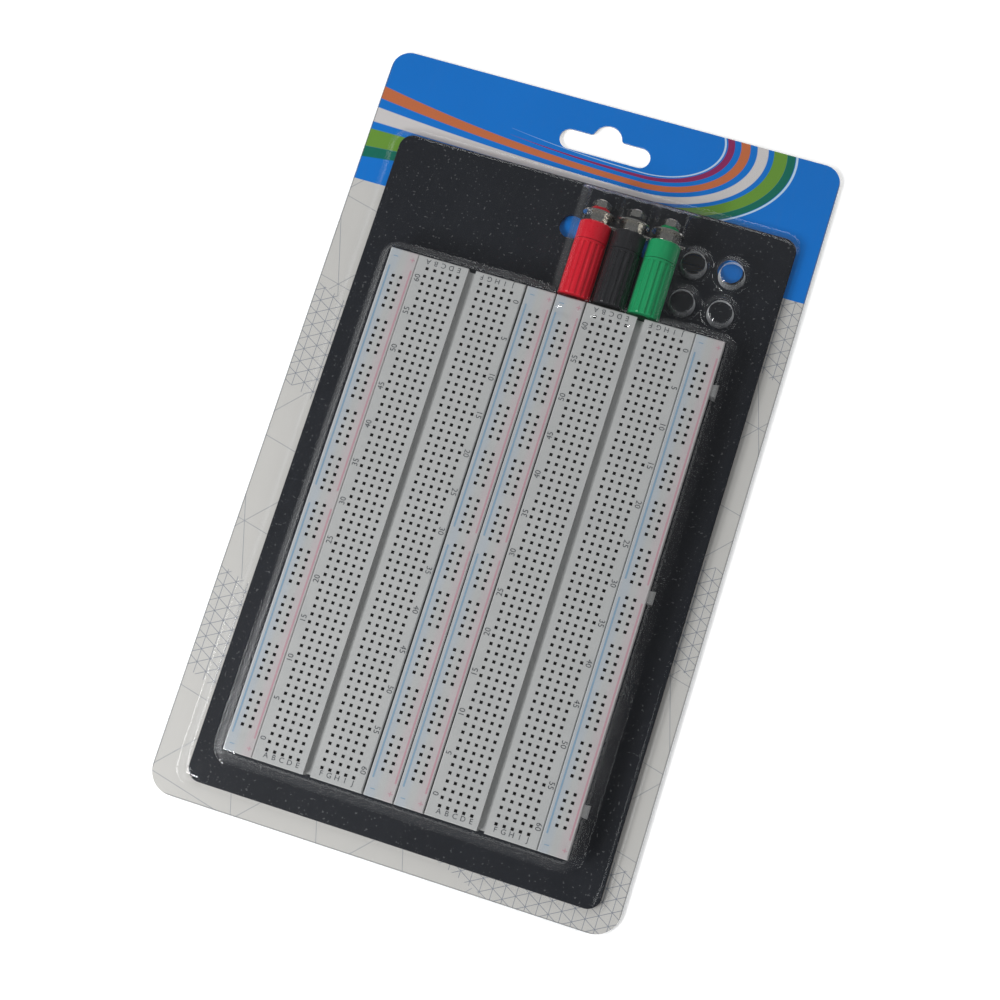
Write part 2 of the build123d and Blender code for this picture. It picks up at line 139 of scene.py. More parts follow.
# %% Lights
def soft_box(name, place, aim, width, height, watts):
    """A white rectangular area light that points at aim."""
    data = bpy.data.lights.new(name, "AREA")
    data.shape = "RECTANGLE"
    data.size, data.size_y = width, height
    data.energy = watts
    light = bpy.data.objects.new(name, data)
    light.location = place
    light.rotation_euler = (Vector(aim) - Vector(place)).to_track_quat("-Z", "Y").to_euler()
    bpy.context.scene.collection.objects.link(light)
    return light


soft_box("key", (-0.80, -0.30, 0.70), (0, 0, 0), 0.55, 0.55, 7.2)
soft_box("far", (0.10, 1.05, 0.75), (0, 0, 0), 0.9, 0.6, 5.2)
soft_box("fill", (1.0, -0.35, 0.75), (0, 0, 0), 0.8, 0.6, 2.8)
soft_box("glint", (-0.36, -0.46, 0.42), (0.02, 0.03, 0), 0.14, 0.14, 2.9)

world = bpy.data.worlds.new("sky")
bpy.context.scene.world = world
world.use_nodes = True
sky = world.node_tree.nodes["Background"]
sky.inputs["Color"].default_value = (0.96, 0.98, 1.0, 1.0)
sky.inputs["Strength"].default_value = 0.12
bpy.context.scene.view_settings.view_transform = "Standard"
print("lights:", len(bpy.data.lights))

# %% [markdown]
# ## Shader sums
#
# A procedural finish is mostly arithmetic on positions and noise. Wired by hand, one line of
# arithmetic becomes a dozen nodes, so a small class wraps a socket and lets Python's own
# operators add the Math nodes. Colours are mixed with Mix nodes, since a Math node would turn
# them grey.

# %% A socket that can be used in sums
class Value:
    """The number carried by one socket of a finish's node tree."""

    def __init__(self, finish, socket):
        self.finish = finish
        self.socket = socket

    def math(self, operation, *terms):
        """One Math node on these terms."""
        settings = {"operation": operation}
        return self.finish.node("ShaderNodeMath", settings, dict(enumerate(terms)))

    def __add__(self, other):
        return self.math("ADD", self, other)

    def __sub__(self, other):
        return self.math("SUBTRACT", self, other)

    def __mul__(self, other):
        return self.math("MULTIPLY", self, other)

    def __truediv__(self, other):
        return self.math("DIVIDE", self, other)

    def __pow__(self, other):
        return self.math("POWER", self, other)

    def __lt__(self, other):
        return self.math("LESS_THAN", self, other)

    def __gt__(self, other):
        return self.math("GREATER_THAN", self, other)

    def __rsub__(self, other):
        return self.math("SUBTRACT", other, self)

    def __rtruediv__(self, other):
        return self.math("DIVIDE", other, self)

    __radd__ = __add__
    __rmul__ = __mul__

    def __abs__(self):
        return self.math("ABSOLUTE", self)

    def clamped(self):
        """This number kept between 0 and 1."""
        return self.math("MINIMUM", self.math("MAXIMUM", self, 0.0), 1.0)

    def most(self, other):
        return self.math("MAXIMUM", self, other)

    def root(self):
        return self.math("SQRT", self)

    def sine(self):
        return self.math("SINE", self)

    def repeat(self, length):
        """The distance to the nearest whole multiple of length."""
        return self.math("PINGPONG", self, length / 2)

    def band(self, low, high, soft):
        """1 between low and high, fading to 0 over soft at each side."""
        rise = ((self - low) / soft + 0.5).clamped()
        fall = ((high - self) / soft + 0.5).clamped()
        return rise * fall


# %% [markdown]
# Nodes are wanted as calls that read like a recipe. One method adds any node, because every node
# is the same three things: a type, settings, and values or links. The common ones (position,
# noise, cells, colour mix, bump) get short names of their own, with sizes in millimetres.

# %% A material with its node tree
MIX_FACTOR, MIX_A, MIX_B, MIX_COLOUR = 0, 6, 7, 2     # a Mix node's sockets when it mixes colours


class Finish:
    """A material whose nodes are made by calls."""

    def __init__(self, name):
        self.material = bpy.data.materials.new(name)
        self.material.use_nodes = True
        self.tree = self.material.node_tree
        self.tree.nodes.clear()
        self.output = self.tree.nodes.new("ShaderNodeOutputMaterial")

    def node(self, kind, settings=None, inputs=None, out=0):
        """Add a node: its settings first, then values or links for its inputs."""
        made = self.tree.nodes.new(kind)
        for key, setting in (settings or {}).items():
            setattr(made, key, setting)
        for key, given in (inputs or {}).items():
            if isinstance(given, Value):
                self.tree.links.new(given.socket, made.inputs[key])
            else:
                made.inputs[key].default_value = given
        return Value(self, made.outputs[out])

    def place(self):
        """X, Y and Z of the surface in the pack's frame, in millimetres."""
        where = self.node("ShaderNodeTexCoord", out="Object")
        split = [self.node("ShaderNodeSeparateXYZ", None, {0: where}, out=axis)
                 for axis in range(3)]
        return [part * (1 / MM) for part in split]

    def noise(self, size, detail=3.0, rough=0.55, stretch=(1, 1, 1)):
        """Noise whose lumps are about size millimetres across."""
        where = self.node("ShaderNodeTexCoord", out="Object")
        scale = tuple(part / (size * MM) for part in stretch)
        settings = {"operation": "MULTIPLY"}
        scaled = self.node("ShaderNodeVectorMath", settings, {0: where, 1: scale})
        inputs = {"Vector": scaled, "Scale": 1.0, "Detail": detail, "Roughness": rough}
        return self.node("ShaderNodeTexNoise", None, inputs, out="Fac")

    def cells(self, size):
        """Cellular texture with cells about size millimetres across."""
        where = self.node("ShaderNodeTexCoord", out="Object")
        inputs = {"Vector": where, "Scale": 1 / (size * MM)}
        return self.node("ShaderNodeTexVoronoi", None, inputs, out="Distance")

    def mix(self, share, first, second):
        """Two colours mixed: share 0 is the first."""
        inputs = {MIX_FACTOR: share, MIX_A: first, MIX_B: second}
        return self.node("ShaderNodeMix", {"data_type": "RGBA"}, inputs, out=MIX_COLOUR)

    def bump(self, height, depth, strength=1.0, base=None):
        """A normal from a height of 0..1 that stands for depth millimetres."""
        inputs = {"Height": height, "Distance": depth * MM, "Strength": strength}
        if base is not None:
            inputs["Normal"] = base
        return self.node("ShaderNodeBump", None, inputs)

    def surface(self, **inputs):
        """Principled surface; names use _ for spaces."""
        named = {key.replace("_", " "): given for key, given in inputs.items()}
        return self.node("ShaderNodeBsdfPrincipled", None, named)

    def done(self, shader):
        """Link the finished shader to the output."""
        self.tree.links.new(shader.socket, self.output.inputs["Surface"])
        return self.material


def shade(colour, factor):
    """A colour made lighter or darker."""
    return tuple(part * factor for part in colour[:3]) + (1.0,)


# %% [markdown]
# ## Moulded strip plastic
#
# The strips are light grey ABS from a fine-textured mould: matt, with a faint mottle and a
# trace of dirt. The real sockets look black because light that falls in is lost between the
# spring leaves. Path tracing gets most of that; a painted shade on the socket walls, found from
# the socket grid itself, does the rest, and a fainter painted shade darkens the sides below the
# top.

# %% Strip plastic
PITCH = 2.54
SOCKET_ROWS = 63
CENTRE_SPAN = 7.62
SOCKET_REACH = PITCH * 0.26      # from a socket's centre to just past its walls
SOCKET_RIM = 0.12                # the lit top of each socket's walls
SIDE_SHADE_FROM, SIDE_SHADE_OVER = 1.0, 2.0


def socket_shade(finish, centre_x, first_column, columns, first_row_y):
    """1 on socket walls, 0 elsewhere, from the grid that the sockets stand on."""
    x, y, z = finish.place()
    mask = None
    for side in (-1, 1):
        local = (x - centre_x) * side - first_column
        inside = local.band(-PITCH / 2, (columns - 0.5) * PITCH, 0.01)
        column = local.repeat(PITCH) < SOCKET_REACH
        part = inside * column
        mask = part if mask is None else mask + part
    row = (y - first_row_y).repeat(PITCH) < SOCKET_REACH
    below = z < STRIP_TOP - SOCKET_RIM
    return (mask * row * below).clamped()


def line_haze(finish, colour, centre_x):
    """A breath of ink that the stamped lines leave beside them."""
    local = finish.place()[0] - centre_x
    blue = local.band(-4.4, -1.2, 1.6)
    red = local.band(1.4, 4.5, 1.6)
    colour = finish.mix(blue * 0.16, colour, (0.25, 0.42, 0.62, 1))
    return finish.mix(red * 0.14, colour, (0.60, 0.30, 0.36, 1))


def strip_finish(name, socket_shade_mask=None, haze_x=None):
    """Light grey moulded ABS, with painted shade on the socket walls and low on the sides."""
    finish = Finish(name)
    mottle = finish.noise(9.0, 4.0)
    grain = finish.noise(0.35, 2.0)
    colour = finish.mix(mottle, (0.385, 0.390, 0.386, 1), (0.450, 0.450, 0.442, 1))
    specks = finish.noise(1.6, 2.0).band(0.28, 0.34, 0.03)
    colour = finish.mix(specks * 0.25, colour, (0.33, 0.335, 0.335, 1))
    if haze_x is not None:
        colour = line_haze(finish, colour, haze_x)
    # Painted shade: the socket walls are darkened almost to black, for the light lost inside them.
    if socket_shade_mask is not None:
        colour = finish.mix(socket_shade_mask(finish), colour, (0.012, 0.012, 0.013, 1))
    # Painted shade: the sides darken from a millimetre below the top, where less light reaches.
    height = finish.place()[2]
    low = ((STRIP_TOP - SIDE_SHADE_FROM - height) / SIDE_SHADE_OVER).clamped()
    colour = finish.mix(low * 0.10, colour, (0.16, 0.165, 0.17, 1))
    normal = finish.bump(grain, 0.03, 0.5)
    rough = grain * 0.12 + 0.40
    return finish.done(finish.surface(Base_Color=colour, Roughness=rough, Normal=normal))


# %% [markdown]
# ## Painted plate
#
# The plate is sprayed with a fine black texture paint, which never looks quite black: dust
# settles in it. Cells give the pebbled film, a slow cloud varies its tone and gloss, and the
# peaks of a fine noise are the dust. A flat black would read as a hole in the picture.

# %% Plate paint
def plate_finish():
    """Black texture paint with a little dust."""
    finish = Finish("plate_paint")
    pebbles = finish.cells(0.45)
    cloud = finish.noise(22.0, 5.0, 0.65)
    dust = finish.noise(0.9, 1.0).band(0.70, 1.0, 0.02)
    colour = finish.mix(cloud, (0.0028, 0.0040, 0.0072, 1), (0.0068, 0.0088, 0.0142, 1))
    colour = finish.mix(dust * 0.5, colour, (0.13, 0.13, 0.135, 1))
    rough = cloud * 0.18 + 0.38
    normal = finish.bump(pebbles, 0.05, 0.45)
    inputs = {"Base_Color": colour, "Roughness": rough, "Normal": normal}
    return finish.done(finish.surface(Specular_IOR_Level=0.3, **inputs))


# %% [markdown]
# ## Turned and plated metal
#
# Studs, nuts and washers are turned on a lathe and plated, so fine rings run round them. All lie
# along Y, so a sine of Y gives the rings, and noise gives stains and a slightly uneven plating.
# The clips are tinned spring bronze, seen only as a dull gleam inside the sockets; the same
# recipe with darker colours serves for them.

# %% Turned and plated metal
def metal_finish(name, light, dark, rough_low, ring_gap=0.16):
    """Plated metal with lathe rings across the Y axis."""
    finish = Finish(name)
    along = finish.place()[1]
    rings = (along * (2 * math.pi / ring_gap)).sine() * 0.5 + 0.5
    stain = finish.noise(1.8, 4.0, 0.6)
    colour = finish.mix(stain, light, dark)
    rough = stain * 0.22 + rough_low
    normal = finish.bump(rings, 0.006, 0.4)
    normal = finish.bump(finish.noise(0.25, 2.0), 0.01, 0.3, normal)
    inputs = {"Base_Color": colour, "Metallic": 1.0, "Roughness": rough, "Normal": normal}
    return finish.done(finish.surface(**inputs))


# %% [markdown]
# ## Coloured mouldings
#
# Caps and bushes are injection-moulded and slightly glossy. Up close such plastic shows a
# faint orange-peel and fine handling scratches along the part.

# %% Moulded colours
def moulding_finish(name, colour_main, colour_deep):
    """Semi-gloss coloured plastic."""
    finish = Finish(name)
    flow = finish.noise(5.0, 3.0, 0.5, (1.0, 0.25, 1.0))
    peel = finish.noise(0.6, 2.0)
    scratch = finish.noise(0.5, 2.0, 0.6, (1.0, 0.05, 1.0)).band(0.60, 0.75, 0.08)
    colour = finish.mix(flow, colour_main, colour_deep)
    colour = finish.mix(scratch * 0.12, colour, shade(colour_main, 1.6))
    rough = peel * 0.16 + scratch * 0.15 + 0.22
    normal = finish.bump(peel, 0.02, 0.35)
    inputs = {"Base_Color": colour, "Roughness": rough, "Normal": normal}
    return finish.done(finish.surface(Specular_IOR_Level=0.5, **inputs))


# %% [markdown]
# ## Printed card
#
# The card is plain board with a coated printed face: a blue header with a family of coloured
# bands, and warm grey below with a faint drawing of triangles. The bands are one curve drawn at
# different sizes. Left of a centre it is a gently rising line, right of it half an ellipse, and
# solving that curve for its size gives a single number per point of the card. Each band is then
# just a range of that number.

# %% Card bands
HEADER_Y = 80.1
BAND_X, BAND_Y = 14.0, 122.0
BAND_SQUASH = 0.62
BAND_LIFT, BAND_SPREAD = 31.0, 0.8
BAND_REACH = 90.0
GROW_FROM, GROW_OVER = -45.0, 60.0      # the plum band starts here and widens over this length
BAND_SOFT = 0.22
ORANGE = (0.52, 0.145, 0.052, 1)
PALE = (0.60, 0.57, 0.56, 1)
LEAF = (0.135, 0.29, 0.035, 1)
TEAL = (0.002, 0.14, 0.095, 1)
PLUM = (0.25, 0.018, 0.10, 1)
BLUE = (0.0, 0.178, 0.62, 1)
OUTLINE = (0.52, 0.66, 0.80, 1)
CARD_GREY = (0.57, 0.555, 0.53, 1)
INK = (0.12, 0.145, 0.20, 1)
EDGE_SHADE = 0.35     # width of the dark line along the card's side and bottom edges
FACE_SKIN = 0.05     # the print's thickness; below it the raw board shows


def band_size(x, y):
    """The size of the band curve that passes through each point."""
    left = ((BAND_X - x) / BAND_REACH).clamped()
    bend = left * left
    lift = BAND_Y + bend * BAND_LIFT - y
    upright = lift / (bend * BAND_SPREAD + BAND_SQUASH)
    along = (x - BAND_X).most(0.0)
    return (along * along + upright * upright).root()


def header_colour(finish, x, y):
    """The blue header with its bands."""
    size = band_size(x, y)
    tone = finish.noise(60.0, 2.0)
    colour = finish.mix(tone, BLUE, shade(BLUE, 0.82))
    grown = ((x - BAND_X - GROW_FROM) / GROW_OVER).clamped()
    right = grown > 0.0
    plum = size.band(26.2 - grown * 2.2, 26.2, BAND_SOFT) * right
    colour = finish.mix(plum, colour, PLUM)
    bands = ((28.3, 31.3, ORANGE), (33.6, 37.2, PALE), (39.0, 43.4, LEAF), (43.4, 46.0, TEAL))
    for low, high, ink in bands:
        colour = finish.mix(size.band(low, high, BAND_SOFT), colour, ink)
    lines = size.band(23.5 - grown * 0.6, 23.5, 0.2) + size.band(46.9 - grown * 0.7, 46.9, 0.2)
    return finish.mix((lines * right).clamped(), colour, OUTLINE)


# %% [markdown]
# The drawing is a lattice of triangles: three families of parallel lines, 60 degrees apart. Small
# triangles fill slanting patches, and large ones run between them. Drawing lines as real curves
# would be heavy, while a repeated distance gives every line of a family at once.

# %% Line drawing on the lower card
SMALL_TRIANGLE, LARGE_TRIANGLE, LINE_HALF = 4.2, 31.0, 0.10
PATCH_EVERY, PATCH_HALF, PATCH_SLANT = 96.0, 17.0, 0.35


def lattice(x, y, size, thick):
    """Lines of a triangular lattice with triangles of this size."""
    lines = None
    for turn in (0, 60, 120):
        angle = math.radians(turn)
        across = x * math.cos(angle) + y * math.sin(angle)
        part = across.repeat(size * math.sqrt(3) / 2) < thick
        lines = part if lines is None else lines.most(part)
    return lines


def lower_colour(finish, x, y):
    """Warm grey with a faint drawing."""
    tone = finish.noise(35.0, 3.0)
    colour = finish.mix(tone, CARD_GREY, shade(CARD_GREY, 0.93))
    patch = (y + x * PATCH_SLANT).repeat(PATCH_EVERY).band(0.0, PATCH_HALF, 0.1)
    small = lattice(x, y, SMALL_TRIANGLE, LINE_HALF) * patch
    turned_x, turned_y = x * 0.96 + y * 0.28, y * 0.96 - x * 0.28
    large = lattice(turned_x, turned_y, LARGE_TRIANGLE, LINE_HALF) * (1 - patch)
    return finish.mix((small * 0.75 + large * 0.6).clamped(), colour, INK)


def card_finish():
    """Coated print on the face, raw board on the edges and back."""
    finish = Finish("printed_card")
    x, y, z = finish.place()
    header = y > HEADER_Y
    colour = finish.mix(header, lower_colour(finish, x, y), header_colour(finish, x, y))
    face = z > card_high.z - FACE_SKIN
    fibre = finish.noise(0.5, 4.0, 0.7)
    board = finish.mix(fibre, (0.56, 0.55, 0.52, 1), (0.47, 0.455, 0.43, 1))
    # Painted shade: a dark band along the card's sides and bottom edge, for the shadow at its edge
    # inside the sheet's fold.
    half_wide = (card_high.x - card_low.x) / 2 - EDGE_SHADE
    rim = (abs(x) > half_wide).most(y < card_low.y + EDGE_SHADE)
    colour = finish.mix(rim * 0.55, colour, (0.10, 0.11, 0.12, 1))
    colour = finish.mix(face, board, colour)
    rough = (1 - face) * 0.45 + fibre * 0.06 + 0.30
    normal = finish.bump(fibre, 0.02, 0.25)
    inputs = {"Base_Color": colour, "Roughness": rough, "Normal": normal}
    return finish.done(finish.surface(Specular_IOR_Level=0.3, **inputs))


# %% [markdown]
# ## Clear sheet and clear feet
#
# Thin clear plastic barely bends light, so it is a see-through surface plus a reflection that
# grows at grazing angles: a Mix Shader between Transparent and a glossy surface. Its factor is
# the facing angle to the fifth power, the usual short form of Fresnel's law. The Fresnel node
# itself would turn a thin sheet into a mirror from behind, because it expects solid glass
# there. A faint haze and rub marks on top make it read as plastic instead of glass. The domed
# feet are thick, and their steep edges catch the light as bright rings; a second Mix Shader
# paints that highlight, a pale matt surface that takes over towards the edges.

# %% Clear plastic
def clear_finish(name, facing_share, haze, tint, rough, marks, wave=0.05, rim=0.0):
    """See-through plastic that reflects more at grazing angles; rim paints a pale highlight on its
    edges.
    """
    finish = Finish(name)
    facing = finish.node("ShaderNodeLayerWeight", None, {"Blend": 0.5}, out="Facing")
    cloud = finish.noise(14.0, 4.0, 0.6)
    rub = finish.noise(0.8, 2.0, 0.6, (1.0, 0.08, 1.0)).band(0.62, 0.74, 0.06)
    grazing = facing ** 5 + facing_share
    share = (grazing + cloud * haze + rub * marks).clamped()
    ripple = finish.bump(finish.noise(9.0, 2.0), 0.04, wave)
    milky = (rub * 0.4 + cloud * 0.25).clamped()
    colour = finish.mix(milky, tint, (0.8, 0.8, 0.8, 1))
    gloss = finish.surface(Base_Color=colour, Roughness=rough + rub * 0.2, Normal=ripple,
                           Specular_IOR_Level=0.5, Metallic=0.85)
    through = finish.node("ShaderNodeBsdfTransparent", None, {"Color": (0.985, 0.988, 0.99, 1)})
    mixed = finish.node("ShaderNodeMixShader", None, {0: share, 1: through, 2: gloss})
    # Painted highlight: a pale matt surface takes over towards the edges, for the bright rings the
    # feet show.
    if rim:
        rim_highlight = finish.surface(Base_Color=tint, Roughness=0.5)
        mixed = finish.node("ShaderNodeMixShader", None, {0: facing ** 3 * rim, 1: mixed, 2: rim_highlight})
    return finish.done(mixed)


# %% [markdown]
# ## Foam tape
#
# Between strips and plate lies double-sided foam. Only its cut edge ever shows, a pale line
# with open cells.

# %% Foam
def foam_finish():
    """Off-white foam with open cells, with painted shade in their hollows."""
    finish = Finish("foam_tape")
    pores = finish.cells(0.22)
    tone = finish.noise(6.0, 3.0)
    colour = finish.mix(tone, (0.62, 0.60, 0.53, 1), (0.72, 0.70, 0.64, 1))
    # Painted shade: the open cells are darker where they dip, for the shade inside them.
    colour = finish.mix((1 - pores * 2.2).clamped() * 0.35, colour, (0.35, 0.33, 0.28, 1))
    normal = finish.bump(pores, 0.1, 0.8)
    return finish.done(finish.surface(Base_Color=colour, Roughness=0.9, Normal=normal))


# %% [markdown]
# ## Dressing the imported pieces
#
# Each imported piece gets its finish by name. Terminal and bus strips have different socket
# grids, so every strip has its own copy of the strip plastic with its own centre line.

# %% Dress the strips
def dress(node, material):
    """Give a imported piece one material."""
    mesh = nodes[node].data
    mesh.materials.clear()
    mesh.materials.append(material)


def strip_centre(node):
    """Centre X of a strip's body, leaving out the tabs on its right."""
    low, high = box_mm(node)
    return (low.x + high.x - TAB_REACH) / 2


row_span = (SOCKET_ROWS - 1) * PITCH
first_row_y = (strips_bottom + strips_top - row_span) / 2
terminals = ["terminal_strip_1", "terminal_strip_2"]
buses = [f"bus_strip_{number}" for number in range(1, 5)]
for node in terminals + buses:
    centre = strip_centre(node)
    first = CENTRE_SPAN / 2 if node in terminals else PITCH / 2
    columns = 5 if node in terminals else 1

    def mask(finish, centre=centre, first=first, columns=columns):
        return socket_shade(finish, centre, first, columns, first_row_y)

    dress(node, strip_finish(f"plastic_{node}", mask, centre if node in buses else None))
print("strips dressed:", len(terminals + buses))

# %% [markdown]
# The other pieces share finishes by what they are made of: one nickel, one brass, one bronze,
# one foam, and a moulded plastic for each of the three colours. Loops over names keep the
# three posts the same.

# %% Dress everything else
NICKEL_LIGHT, NICKEL_DARK = (0.80, 0.78, 0.74, 1), (0.52, 0.50, 0.46, 1)
nickel = metal_finish("nickel_plate", NICKEL_LIGHT, NICKEL_DARK, 0.14)
brass = metal_finish("plated_brass", (0.74, 0.69, 0.60, 1), (0.55, 0.49, 0.40, 1), 0.18)
bronze = metal_finish("spring_bronze", (0.30, 0.28, 0.25, 1), (0.16, 0.14, 0.12, 1), 0.35)
foam = foam_finish()
mouldings = {
    "red": moulding_finish("red_moulding", (0.62, 0.006, 0.022, 1), (0.50, 0.004, 0.016, 1)),
    "black": moulding_finish("black_moulding", (0.016, 0.016, 0.018, 1),
                             (0.010, 0.010, 0.012, 1)),
    "green": moulding_finish("green_moulding", (0.006, 0.30, 0.105, 1), (0.004, 0.23, 0.08, 1)),
}
dress("base_plate", plate_finish())
dress("hang_card", card_finish())
for node in terminals + buses:
    dress(node.replace("strip", "clips"), bronze)
    dress(node.replace("strip", "tape"), foam)
for colour, moulding in mouldings.items():
    for piece in ("cap", "front_bush", "rear_bush"):
        dress(f"{colour}_{piece}", moulding)
    for piece in ("cap_sleeve", "stud"):
        dress(f"{colour}_{piece}", brass)
    for piece in ("solder_lug", "panel_nut", "flat_washer", "end_nut"):
        dress(f"{colour}_{piece}", nickel)
bumper = clear_finish("clear_bumper", facing_share=0.02, haze=0.004, rough=0.06, marks=0.0,
                      tint=(0.90, 0.92, 0.94, 1), wave=0.0, rim=0.9)
for number in range(1, 5):
    dress(f"foot_{number}", bumper)
print("materials:", len(bpy.data.materials))

# %% [markdown]
# ## Printed marks on the strips
#
# Power lines, signs, row numbers and column letters are hot-stamped: a film of ink a few
# hundredths of a millimetre proud of the plastic. The ink is thin and wears with handling, so
# its colour is broken by noise towards the grey of the plastic beneath.

# %% Ink
def ink_finish(name, colour, worn):
    """Stamped ink that is slightly worn."""
    finish = Finish(name)
    wear = finish.noise(0.45, 3.0, 0.7)
    thin = wear.band(0.58, 1.0, 0.12)
    tone = finish.mix(thin * worn, colour, (0.40, 0.41, 0.41, 1))
    return finish.done(finish.surface(Base_Color=tone, Roughness=wear * 0.15 + 0.42))


ink_grey = ink_finish("ink_grey", (0.032, 0.036, 0.045, 1), 0.30)
ink_blue = ink_finish("ink_blue", (0.19, 0.30, 0.41, 1), 0.30)
ink_red = ink_finish("ink_red", (0.45, 0.25, 0.29, 1), 0.30)

# %% [markdown]
# The marks could be painted in the strip's material, but a thin raised piece keeps a crisp edge
# at any distance and survives export. Words come from text objects turned into meshes, and bars
# are drawn point by point. All 140 of them are joined into one piece per strip and ink.

# %% Making and joining marks
INK_LIFT = 0.03
INK_SINK = 0.02
INK_MIDDLE = STRIP_TOP + (INK_LIFT - INK_SINK) / 2
INK_THICK = INK_LIFT + INK_SINK


def text_points(text, size, x, y, turn):
    """Vertices and faces of one centred word, lying on the strips' top, in metres."""
    curve = bpy.data.curves.new("word", "FONT")
    curve.body = text
    curve.size = size * MM
    curve.align_x = "CENTER"
    curve.align_y = "CENTER"
    curve.resolution_u = 3
    curve.extrude = INK_THICK / 2 * MM
    word = bpy.data.objects.new("word", curve)
    mesh = bpy.data.meshes.new_from_object(word)
    spin = Matrix.Rotation(math.radians(turn), 4, "Z")
    mesh.transform(Matrix.Translation((x * MM, y * MM, INK_MIDDLE * MM)) @ spin)
    points = [tuple(vertex.co) for vertex in mesh.vertices]
    faces = [tuple(face.vertices) for face in mesh.polygons]
    bpy.data.objects.remove(word)
    bpy.data.curves.remove(curve)
    bpy.data.meshes.remove(mesh)
    return points, faces


def bar_points(x0, x1, y0, y1):
    """Vertices and faces of a printed bar with clipped corners, in metres."""
    clip = min(x1 - x0, y1 - y0) * 0.2
    outline = [(x0 + clip, y0), (x1 - clip, y0), (x1, y0 + clip), (x1, y1 - clip),
               (x1 - clip, y1), (x0 + clip, y1), (x0, y1 - clip), (x0, y0 + clip)]
    low, high = (STRIP_TOP - INK_SINK) * MM, (STRIP_TOP + INK_LIFT) * MM
    points = [(x * MM, y * MM, z) for z in (low, high) for x, y in outline]
    count = len(outline)
    faces = [tuple(range(count, 2 * count)), tuple(reversed(range(count)))]
    faces += [(i, (i + 1) % count, (i + 1) % count + count, i + count) for i in range(count)]
    return points, faces


def join_marks(name, marks, material):
    """One piece from many small marks."""
    points, faces = [], []
    for mark_points, mark_faces in marks:
        start = len(points)
        points.extend(mark_points)
        faces.extend(tuple(index + start for index in face) for face in mark_faces)
    mesh = bpy.data.meshes.new(name)
    mesh.from_pydata(points, [], faces)
    mesh.materials.append(material)
    piece = new_object(name, mesh)
    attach(piece, "kit")
    return piece


# %% [markdown]
# The left numbers climb from the lower end and read upwards; the right ones count from the
# upper end and read downwards, so that the board reads the same from both ends. Letters stand
# upright at the lower end and upside down at the upper end.

# %% Row numbers and column letters
NUMBER_SIZE = 2.55
LETTER_SIZE = 2.35
NUMBER_OUT = 2.1                        # from the outer sockets' centres
NUMBER_RISE, LAST_RISE = 3.1, 1.4       # above the row that a left number names
NUMBER_DROP, FIRST_DROP = 2.1, 2.4      # below the row that a right number names
LETTER_BELOW, LETTER_ABOVE = 1.7, 2.35  # from the end rows' centres
LETTER_SHIFT = 0.25


def terminal_marks(node):
    """All words on one terminal strip."""
    centre = strip_centre(node)
    half_span = CENTRE_SPAN / 2 + 4 * PITCH
    top_row_y = first_row_y + row_span
    marks = []
    for number in range(0, 61, 5):
        rise = number * PITCH + (NUMBER_RISE if number < 60 else LAST_RISE)
        marks.append(text_points(str(number), NUMBER_SIZE, centre - half_span - NUMBER_OUT,
                                 first_row_y + rise, 90))
        drop = number * PITCH + (NUMBER_DROP if number else FIRST_DROP)
        marks.append(text_points(str(number), NUMBER_SIZE, centre + half_span + NUMBER_OUT,
                                 top_row_y - drop, -90))
    for index, letter in enumerate("ABCDEFGHIJ"):
        side = -1 if index < 5 else 1
        step = index % 5
        x = centre + side * CENTRE_SPAN / 2 + (step - 4 if side < 0 else step) * PITCH
        marks.append(text_points(letter, LETTER_SIZE, x + LETTER_SHIFT,
                                 first_row_y - LETTER_BELOW, 0))
        marks.append(text_points(letter, LETTER_SIZE, x - LETTER_SHIFT,
                                 top_row_y + LETTER_ABOVE, 180))
    return marks


for node in terminals:
    piece = join_marks(f"{node}_numbers", terminal_marks(node), ink_grey)
    print(piece.name, len(piece.data.polygons), "faces")

# %% [markdown]
# Each bus strip has a blue line by its left edge and a red one by its right, both broken at mid
# length, where the clips beneath are broken too, and a sign at each end. They are plain bars
# with clipped corners, because a stamped bar never has a perfectly square end.

# %% Power lines and signs
LINE_WIDTH = 0.55
LINE_END = 2.0
LINE_BREAK = 2.9
SIGN_SIZE = 1.5
SIGN_STROKE = 0.28
BLUE_IN, RED_IN = 1.25, 0.95            # from the strip's edges to the lines' centres
MINUS_IN, PLUS_IN, SIGN_OUT = 2.2, 1.5, 1.3


def power_line(x):
    """A line in two halves, broken where the bus is broken."""
    middle = (strips_bottom + strips_top) / 2
    low, high = first_row_y + LINE_END, first_row_y + row_span - LINE_END
    halves = ((low, middle - LINE_BREAK), (middle + LINE_BREAK, high))
    return [bar_points(x - LINE_WIDTH / 2, x + LINE_WIDTH / 2, y0, y1) for y0, y1 in halves]


def sign(x, y, crossed):
    """A minus, or a plus if crossed."""
    half, stroke = SIGN_SIZE / 2, SIGN_STROKE / 2
    marks = [bar_points(x - half, x + half, y - stroke, y + stroke)]
    if crossed:
        marks.append(bar_points(x - stroke, x + stroke, y + stroke, y + half))
        marks.append(bar_points(x - stroke, x + stroke, y - half, y - stroke))
    return marks


for node in buses:
    low, high = box_mm(node)
    left, right = low.x, high.x - TAB_REACH
    sign_ends = (first_row_y - SIGN_OUT, first_row_y + row_span + SIGN_OUT)
    blue_marks = power_line(left + BLUE_IN)
    red_marks = power_line(right - RED_IN)
    for y in sign_ends:
        blue_marks += sign(left + MINUS_IN, y, False)
        red_marks += sign(right - PLUS_IN, y, True)
    join_marks(f"{node}_blue_print", blue_marks, ink_blue)
    join_marks(f"{node}_red_print", red_marks, ink_red)
print("marks on", len(buses), "bus strips")

